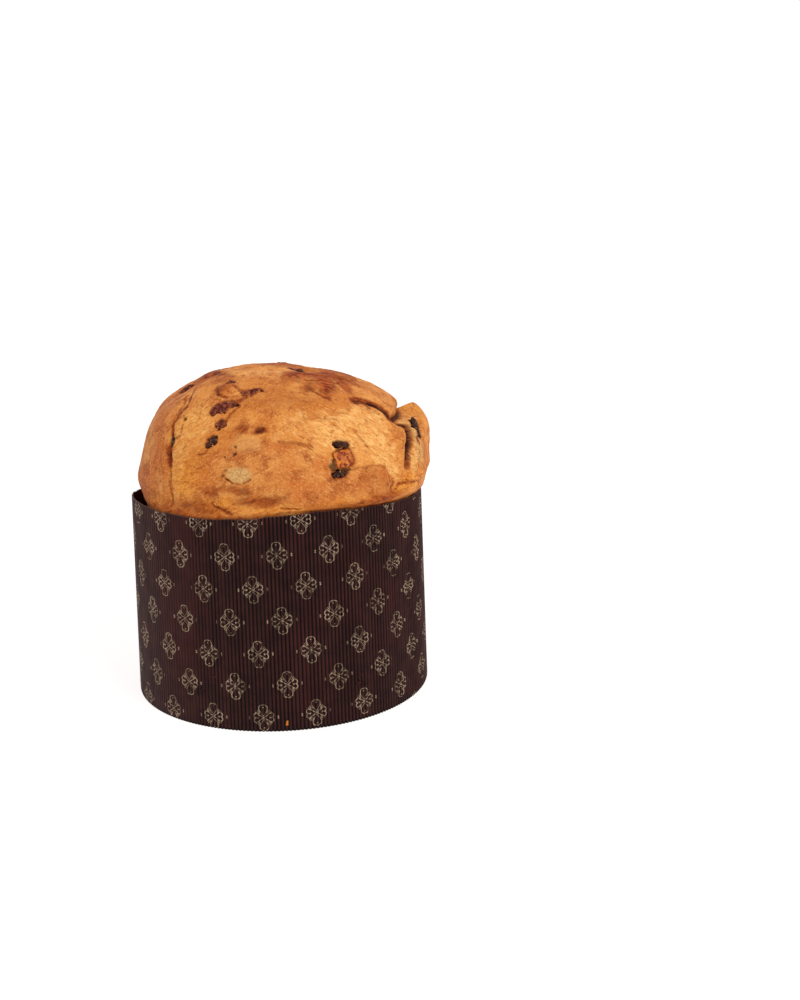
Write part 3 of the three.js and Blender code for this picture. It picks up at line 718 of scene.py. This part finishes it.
def spots(tree, x, y, wobble, places):
    """1 on each of the ragged round spots."""
    mask = 0.0
    ragged = add(tree, "Math", wobble, 2.4, -0.2, operation="MULTIPLY_ADD")
    for x_middle, y_middle, radius in places:
        away = distance_from(tree, x, y, x_middle, y_middle)
        away = add(tree, "Math", away, ragged, operation="MULTIPLY")
        on_spot = add(tree, "MapRange", away, radius, 0.75 * radius, **SMOOTH)
        mask = add(tree, "Math", on_spot, mask, operation="MAXIMUM")
    return mask


# Numbers painted on the case for its material
CASE_MARKS = ("outside", "crest", "cut_edge")
PAPER_PATTERNS = [
    ("mottle", "place", 9.0, 3.0, 0.55, 0.0),
    ("glow", "place", 34.0, 3.0, 0.55, 0.0),
    ("wobble", "place", 1.6, 2.0, 0.55, 0.0),
    ("grain", "place", 0.8, 2.0, 0.55, 0.0),
]


def paper_material():
    """Greaseproof baking paper: dark brown, pleated, faintly glossy, with a dull gold print, and painted shade
    in the pleats' valleys.
    """
    material, tree, shader, place = new_material("printed_baking_paper")
    made = patterns(tree, {"place": place}, PAPER_PATTERNS)
    x, y, z = add(tree, "SeparateXYZ", place).node.outputs
    angle = add(tree, "Math", x, add(tree, "Math", y, -1.0, operation="MULTIPLY"), operation="ARCTAN2")
    sheet_x = add(tree, "Math", angle, PRINT_RADIUS, operation="MULTIPLY")
    sheet_y = add(tree, "Math", z, 1000.0, operation="MULTIPLY")
    outside, crest, cut = [
        add(tree, "Attribute", attribute_name=name).node.outputs["Fac"] for name in CASE_MARKS]
    ridge = lay_where(tree, "#2d1413", "#391c19", made["mottle"], 0.35, 0.65)
    ridge = lay_where(tree, ridge, "#451a17", made["glow"], 0.5, 0.66, 0.3)
    # Painted shade: near-black in the pleats' valleys, from the crest mark
    base = lay_where(tree, "#0a0202", ridge, crest, 0.1, 0.6)
    # Painted shade: the gold dims between the pleats' crests
    gold = lay_where(tree, "#806c56", "#a8937a", made["mottle"], 0.35, 0.6)
    ink_valley_shade = add(tree, "MapRange", crest, 0.15, 0.5, 0.35, 0.95, **SMOOTH)
    ink = add(tree, "Math", floret_print(tree, sheet_x, sheet_y), outside, operation="MULTIPLY")
    base = lay(tree, base, gold, add(tree, "Math", ink, ink_valley_shade, operation="MULTIPLY"))
    syrup = spots(tree, sheet_x, sheet_y, made["wobble"], SYRUP_SPOTS)
    syrup = add(tree, "Math", syrup, outside, operation="MULTIPLY")
    sugar = lay_where(tree, "#140302", "#4a120a", made["wobble"], 0.5, 0.64)
    base = lay(tree, base, sugar, syrup)
    crumbs = spots(tree, sheet_x, sheet_y, made["wobble"], STUCK_CRUMBS)
    base = lay(tree, base, "#c9722a", add(tree, "Math", crumbs, outside, operation="MULTIPLY"))
    base = lay(tree, base, "#5d3f38", cut)
    base = lay(tree, "#3d0d04", base, outside)
    tree.links.new(base, shader.inputs["Base Color"])
    tree.links.new(add(tree, "Math", syrup, -0.3, 0.5, operation="MULTIPLY_ADD"), shader.inputs["Roughness"])
    shader.inputs["Specular IOR Level"].default_value = 0.09
    bump = add(tree, "Bump", Strength=0.25, Distance=0.0002, Height=made["grain"])
    tree.links.new(bump, shader.inputs["Normal"])
    return material


# Bread

BREAD_COLUMNS = 460
BREAD_ROWS = {"dome": 176, "lip": 22, "side": 14, "bottom": 2}
FRONT_CROWDING = 0.4
CLEAR_OF_FRUIT = 0.3
CLEAR_OF_PEEL = -0.5
FRUIT_DEPTH = 2.4
# The crust keeps no marks under this rise, inside the case
HIDDEN_RISE = -0.09


def bread_rows(azimuth, row):
    """Smooth place, outward line, rise and share of relief for each vertex."""
    dome, lip, side = BREAD_ROWS["dome"], BREAD_ROWS["lip"], BREAD_ROWS["side"]
    last = dome + lip + side + BREAD_ROWS["bottom"]
    floor = PAPER + GAP
    neck = rim_height(azimuth) + NECK
    rise = np.clip(1.0 - (row / dome) ** 1.05, 0.0, 1.0)
    in_lip = (row - dome) / lip
    in_side = (row - dome - lip) / side
    low_lip = neck - LIP_DROP
    height = DOME_FOOT + (low_lip - DOME_FOOT) * in_lip
    height = np.where(row > dome + lip, low_lip + (floor + BOTTOM_ROUNDING - low_lip) * in_side, height)
    foot = np.linalg.norm(dome_point(azimuth, 0.0 * azimuth)[:, :2], axis=1)
    below = np.minimum(height, neck)
    flare = FLARE
    for fold in TUCKS:
        flare = flare - fold["flare"] * bell(turn_between(azimuth, fold["azimuth"]) / fold["spread"])
    held = np.minimum(room_in_case(below), foot + flare * (DOME_FOOT - below)) - tuck(azimuth, below, True)
    free = foot - tuck(azimuth, height)
    above = np.maximum(height - neck, 0.0)
    radius = np.where(height > neck, free + (held - free) * np.exp(-above / LIP), held)
    radius = np.where(row == last - 1, room_in_case(floor) - BOTTOM_ROUNDING, radius)
    radius = np.where(row == last, 0.0, radius)
    height = np.where(row >= last - 1, floor, height)
    side_places = on_circle(azimuth, radius, height)
    on_dome = row <= dome
    out = outward(azimuth, np.where(on_dome, rise, 0.0))
    dome_places = dome_point(azimuth, rise)
    dome_places -= out * tuck(azimuth, dome_places[:, 2])[:, None]
    places = np.where(on_dome[:, None], dome_places, side_places)
    share = np.where(on_dome, 1.0, ease(above / RELIEF_START))
    return places, out, rise, share


def dig_for_fruit(points, fruit, fray):
    """How far the crust gives way at each piece of fruit, and how near its dark edge is."""
    dug = np.zeros(len(points))
    edge = np.zeros(len(points))
    for piece in fruit:
        clear = CLEAR_OF_FRUIT if piece.name.startswith("raisin") else CLEAR_OF_PEEL
        tree = BVHTree.FromPolygons(
            [tuple(vert.co / MM) for vert in piece.data.vertices],
            [tuple(face.vertices) for face in piece.data.polygons])
        corners = np.array([vert.co for vert in piece.data.vertices]) / MM
        middle = corners.mean(axis=0)
        reach = np.linalg.norm(corners - middle, axis=1).max() + 3.0
        for index in np.flatnonzero(np.linalg.norm(points - middle, axis=1) < reach):
            place = Vector(points[index])
            nearest, normal, _, distance = tree.find_nearest(place)
            if (place - nearest).dot(normal) < 0.0:
                distance = -distance
            dug[index] = max(dug[index], ease((clear + 0.5 - distance + 1.2 * fray[index]) / 0.8))
            edge[index] = max(edge[index], ease((1.5 - distance) / 1.4))
    return dug, edge


def make_bread(material, fruit):
    """Crust of the whole loaf, painted with the numbers that its material reads."""
    rows = sum(BREAD_ROWS.values())
    skin = spun_skin(rows, BREAD_COLUMNS)
    row, turned = row_and_azimuth(skin, rows)
    # Columns lie closer together in front, where the tears and the fruit are
    azimuth = turned - math.degrees(FRONT_CROWDING) * np.sin(np.radians(turned))
    smooth, out, rise, share = bread_rows(azimuth, row)
    low_rise = np.where(row <= BREAD_ROWS["dome"], rise, (smooth[:, 2] - DOME_FOOT) / 100.0)
    ragged = np.stack([noise_at(smooth, 2.6, offset, 3) for offset in (3.1, 17.7, 41.3)], axis=1)
    wander = np.stack([noise_at(smooth, 11.0, offset) for offset in (5.1, 23.7, 31.3)], axis=1)
    features = smooth + 1.0 * wander + 0.5 * ragged
    height = relief(azimuth, rise, features)
    torn = zone_mask(smooth + 4.0 * wander, TORN_ZONES, 1.0)
    torn = ease((torn + 0.4 * noise_at(smooth, 5.0, 7.7, 3) - 0.15) / 0.8)
    amber = zone_mask(smooth + 3.0 * wander, AMBER_ZONES, 1.2)
    brown = zone_mask(smooth + 2.5 * wander + ragged, BROWN_ZONES, 1.1)
    # Darker towards the rim under the dome's foot: partly the baked lip, partly painted shade where the crust
    # tucks into the case
    brown = np.maximum(brown, 0.8 * ease((DOME_FOOT - 4.5 - smooth[:, 2] + 1.5 * wander[:, 2]) / 4.0))
    pale = zone_mask(smooth + 0.8 * ragged, PALE_ZONES, 0.7)
    rust = line_mask(features, RUST_LINES)
    # Painted shade down the cracks and folds, with the real dark specks under the skin
    dark = np.maximum(line_mask(features, CRACK_SHADE_LINES), zone_mask(smooth + 0.6 * ragged, DARK_SPOTS, 0.7))
    height += torn * (0.4 * noise_at(smooth * (1.0, 1.0, 2.2), 3.2, 5.5, 3) - 0.3)
    height += 0.22 * ragged[:, 0] - 0.4 * rust - 0.8 * dark
    points = smooth + out * (height * share)[:, None]
    dug, edge = dig_for_fruit(points, fruit, ragged[:, 1])
    points -= out * (FRUIT_DEPTH * dug)[:, None]
    piece = finished("bread_crust", skin, points)
    hidden = low_rise < HIDDEN_RISE
    skin_share = smooth_skin(azimuth + 2.0 * wander[:, 0], low_rise + 0.012 * wander[:, 1])
    # The crevice mark is painted shade in the cracks and folds and in the hollows dug round the fruit, together
    # with the real dark specks
    marks = {
        "torn": torn * (1.0 - 0.85 * skin_share), "smooth_skin": skin_share, "amber": amber, "browning": brown,
        "rust": np.maximum(rust, 0.8 * edge), "pale": pale, "crevice_shade_and_specks": np.maximum(dark, 0.85 * dug)}
    for name in CRUST_MARKS:
        paint(piece, name, np.where(hidden, 0.0, marks[name]))
    return hand_in(piece, material, "crust", "bread")


# Fruit: it is pressed towards this point in the middle of the dome, in mm
FRUIT_AIM = np.array([-3.0, 0.0, 112.0])
# For each slot: height of the wrinkles in mm, growth, and share by which it is pressed flat
FRUIT_SHAPES = {"raisin": (0.55, 1.12, 0.4), "peel": (0.4, 1.02, 0.35)}


def make_fruit(node, material, slot):
    """Copy of the node's rough solid, smoothed, wrinkled and pressed flat where it faces outwards."""
    wrinkle, grown, flattened = FRUIT_SHAPES[slot]
    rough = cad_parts[node]
    shape = bmesh.new()
    shape.from_mesh(rough.data)
    bmesh.ops.remove_doubles(shape, verts=shape.verts, dist=1e-6)
    mesh = bpy.data.meshes.new(node + "_rough")
    shape.to_mesh(mesh)
    shape.free()
    holder = bpy.data.objects.new(node + "_rough", mesh)
    bpy.context.scene.collection.objects.link(holder)
    smoother = holder.modifiers.new("smooth", "SUBSURF")
    smoother.levels = 3
    smoother.render_levels = 3
    done = bpy.data.meshes.new_from_object(holder.evaluated_get(bpy.context.evaluated_depsgraph_get()))
    bpy.data.objects.remove(holder)
    count = len(done.vertices)
    points = np.empty(count * 3)
    normals = np.empty(count * 3)
    done.vertices.foreach_get("co", points)
    done.vertex_normals.foreach_get("vector", normals)
    points = points.reshape(-1, 3) / MM
    normals = normals.reshape(-1, 3)
    middle = points.mean(axis=0)
    points = middle + (points - middle) * grown
    out = (middle - FRUIT_AIM) / np.linalg.norm(middle - FRUIT_AIM)
    standing = np.maximum((points - middle) @ out, 0.0)
    points -= flattened * standing[:, None] * out
    creases = 1.0 - 2.0 * np.abs(noise_at(points, 2.0, 2.2, 3))
    creases += 1.4 * noise_at(points, 4.5, 9.1, 1)
    points += normals * (wrinkle * creases)[:, None]
    done.vertices.foreach_set("co", (points * MM).ravel())
    done.polygons.foreach_set("use_smooth", [True] * len(done.polygons))
    done.name = node + "_skin"
    piece = bpy.data.objects.new(node + "_skin", done)
    bpy.context.scene.collection.objects.link(piece)
    return hand_in(piece, material, slot, node)


# Paper case

CASE_STEPS = 6
CASE_ROWS = {"floor": 2, "inside": 12, "outside": 20, "base": 3}
RIM_CROWDING = 2.2
# The sheet's glued overlap at the back
OVERLAP = {"from": 162.0, "to": 174.0, "edge": 0.5, "depth": 0.5}


def inside_overlap(azimuth):
    start = ease((azimuth - OVERLAP["from"]) / OVERLAP["edge"])
    end = ease((OVERLAP["to"] - azimuth) / OVERLAP["edge"])
    return start * end


def make_case(material):
    """Pleated sheet with its inner side, rim, outer side and base, and a glued overlap at the back."""
    rows = sum(CASE_ROWS.values()) + 1
    columns = FLUTES * CASE_STEPS
    skin = spun_skin(rows, columns)
    row, azimuth = row_and_azimuth(skin, rows)
    floor, inside_rows, outside_rows = CASE_ROWS["floor"], CASE_ROWS["inside"], CASE_ROWS["outside"]
    rim = floor + inside_rows
    flute = azimuth * FLUTES / 360.0
    number = np.rint(flute).astype(int) % FLUTES
    draws = np.random.default_rng(7)
    depth = 0.8 + 0.4 * draws.random(FLUTES)
    crest = 0.5 + 0.5 * np.cos(2 * math.pi * flute)
    # The paper is stretched nearly flat at the left and pleated deeply in the middle and at the right
    pleated = 0.5 + 0.5 * ease((azimuth + 52.0) / 38.0) * ease((98.0 - azimuth) / 20.0)
    pleated = np.where(np.abs(azimuth) > 90.0, 0.85, pleated)
    depth = depth[number] * pleated
    fold = FLUTE_DEPTH * (2.0 * crest ** 0.7 - 1.0) * depth
    overlap = OVERLAP["depth"] * inside_overlap(azimuth)
    inner = row <= rim
    ragged = np.interp(azimuth, np.linspace(-180, 180, 120), draws.normal(size=120))
    top = rim_height(azimuth) + 0.25 * ragged
    climb = 1.0 - (1.0 - np.clip((row - floor) / inside_rows, 0.0, 1.0)) ** RIM_CROWDING
    drop = np.clip((row - rim - 1) / outside_rows, 0.0, 1.0)
    # Rows lie close together at the rim and at the base
    drop = np.where(drop < 0.5, (2 * drop) ** RIM_CROWDING, 2 - (2 - 2 * drop) ** RIM_CROWDING) / 2
    height = np.where(inner, PAPER + (top - PAPER) * climb, top * (1.0 - drop))
    wall = case_radius(height) + fold + np.where(inner, -PAPER / 2, PAPER / 2 + overlap)
    to_middle = np.clip(row / floor, 0.0, 1.0)
    base_rows = CASE_ROWS["base"]
    from_edge = np.clip((row - (rows - base_rows)) / base_rows, 0.0, 1.0)
    radius = np.where(row < floor, wall * to_middle, wall * (1.0 - from_edge))
    points = on_circle(azimuth, radius, height)
    piece = finished("case_paper_sheet", skin, points)
    # Painted shade of the pleats: the crest mark is dark in their valleys, less where the paper is stretched
    # flat
    lit = 1.0 - np.minimum(depth, 1.0) * (1.0 - np.where(inner, 1.0 - crest, crest))
    # Painted shade: the crest mark drops to a fifth in the lowest 0.9 mm of the outside, a dark line along the
    # foot
    near_base = (height < 0.9) & ~inner
    marks = {
        "outside": (row > rim).astype(float), "crest": np.where(near_base, 0.2 * lit, lit),
        "cut_edge": ((row == rim) | (row == rim + 1)).astype(float)}
    for name in CASE_MARKS:
        paint(piece, name, marks[name])
    return hand_in(piece, material, "case_paper", "paper_case")


# Camera, light and floor

CAMERA_PLACE = (0.0, -0.822949, 0.318408)
CAMERA_FORWARD = (0.08305606, 0.9644555, -0.2508531)
CAMERA_UP = (0.04014177, 0.24828069, 0.96785605)
PHOTO_HEIGHT = 1000
FOCAL_PIXELS = 1465.2
SENSOR = 36.0


def make_camera():
    data = bpy.data.cameras.new("photo_camera")
    data.sensor_width = SENSOR
    data.lens = FOCAL_PIXELS * SENSOR / PHOTO_HEIGHT
    camera = bpy.data.objects.new("photo_camera", data)
    bpy.context.scene.collection.objects.link(camera)
    forward = Vector(CAMERA_FORWARD).normalized()
    right = forward.cross(Vector(CAMERA_UP)).normalized()
    up = right.cross(forward)
    turn = Matrix((right, up, -forward)).transposed().to_4x4()
    camera.matrix_world = Matrix.Translation(CAMERA_PLACE) @ turn
    bpy.context.scene.camera = camera


def make_light(name, place, aim, size, power):
    data = bpy.data.lights.new(name, "AREA")
    data.shape = "DISK"
    data.size = size
    data.energy = power
    light = bpy.data.objects.new(name, data)
    light.location = place
    light.rotation_euler = (Vector(aim) - Vector(place)).to_track_quat("-Z", "Y").to_euler()
    bpy.context.scene.collection.objects.link(light)


def make_studio():
    """White sweep: a floor that curves up behind, under a soft overhead light and a white room."""
    floor = bmesh.new()
    radius, back, top = 1.0, 2.0, 3.0
    profile = [(-4.0, 0.0), (back, 0.0)]
    for step in range(1, 13):
        angle = math.pi / 2 * step / 12
        profile.append((back + radius * math.sin(angle), radius * (1 - math.cos(angle))))
    profile.append((back + radius, top))
    verts = [floor.verts.new((-5.0, y, z)) for y, z in profile]
    edges = [floor.edges.new(pair) for pair in zip(verts, verts[1:])]
    grown = bmesh.ops.extrude_edge_only(floor, edges=edges)
    moved = [item for item in grown["geom"] if isinstance(item, bmesh.types.BMVert)]
    bmesh.ops.translate(floor, verts=moved, vec=(10.0, 0.0, 0.0))
    bmesh.ops.recalc_face_normals(floor, faces=floor.faces)
    mesh = bpy.data.meshes.new("studio_sweep")
    floor.to_mesh(mesh)
    floor.free()
    mesh.polygons.foreach_set("use_smooth", [True] * len(mesh.polygons))
    sweep = bpy.data.objects.new("studio_sweep", mesh)
    bpy.context.scene.collection.objects.link(sweep)
    material, _, shader, _ = new_material("white_paper_sweep")
    shader.inputs["Base Color"].default_value = colour("#8f8d8c")
    shader.inputs["Roughness"].default_value = 0.9
    shader.inputs["Emission Color"].default_value = colour("#fffcfb")
    shader.inputs["Emission Strength"].default_value = 0.82
    mesh.materials.append(material)
    world = bpy.data.worlds.new("white_room")
    world.use_nodes = True
    world.node_tree.nodes["Background"].inputs[0].default_value = (1.0, 0.985, 0.985, 1.0)
    world.node_tree.nodes["Background"].inputs[1].default_value = 0.6
    bpy.context.scene.world = world
    make_light("key", (0.9, -1.2, 1.5), (0.0, 0.0, 0.1), 0.9, 18.0)
    make_light("overhead", (-0.3, -0.2, 1.6), (0.0, 0.0, 0.1), 1.2, 4.0)
    bpy.context.scene.view_settings.view_transform = "Standard"


def main():
    make_camera()
    make_studio()
    raisin = raisin_material()
    peel = peel_material()
    fruit = []
    for node in sorted(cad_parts):
        if node.startswith("raisin"):
            fruit.append(make_fruit(node, raisin, "raisin"))
        if node.startswith("candied_peel"):
            fruit.append(make_fruit(node, peel, "peel"))
    make_bread(crust_material(), fruit)
    make_case(paper_material())


main()
